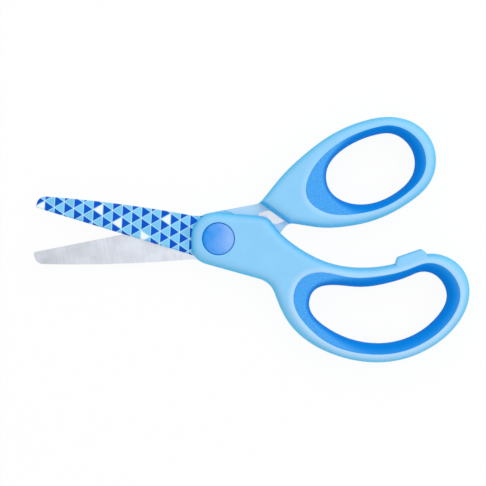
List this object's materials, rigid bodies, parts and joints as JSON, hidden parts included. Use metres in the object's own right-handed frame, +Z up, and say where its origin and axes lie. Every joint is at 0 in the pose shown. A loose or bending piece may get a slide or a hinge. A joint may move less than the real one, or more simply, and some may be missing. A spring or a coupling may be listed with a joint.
{
  "type": "office scissors",
  "caption": "Small soft-grip office scissors with blunt tips, a small thumb bow and a large finger bow, lying flat and part open.",
  "frame": {"origin": "the point where the pivot axis meets the plane that the scissors rest on, at the centre of the back cap", "axes": "+Z up along the pivot axis from the resting face, -X towards the blade tips, +X towards the handles"},
  "size_m": [0.1394, 0.0786, 0.0095],
  "materials": {
    "printed_blade": "printed",
    "blade_steel": "ground",
    "handle_plastic": "satin moulded",
    "soft_grip": "matt moulded",
    "cap_plastic": "satin moulded",
    "pivot_steel": "plated"
  },
  "bodies": {
    "finger_half": {"finger_blade": "printed_blade", "finger_handle": "handle_plastic", "finger_grip": "soft_grip", "pivot_rivet": "pivot_steel", "spring_washer": "pivot_steel", "flat_washer": "pivot_steel", "front_cap": "cap_plastic"},
    "thumb_half": {"thumb_blade": "blade_steel", "thumb_handle": "handle_plastic", "thumb_grip": "soft_grip", "back_cap": "cap_plastic"}
  },
  "joints": [
    {"name": "pivot", "type": "hinge", "parent": "finger_half", "child": "thumb_half", "pos_m": [0, 0, 0], "axis": [0, 0, 1], "range_deg": [-14.5, 108]}
  ]
}
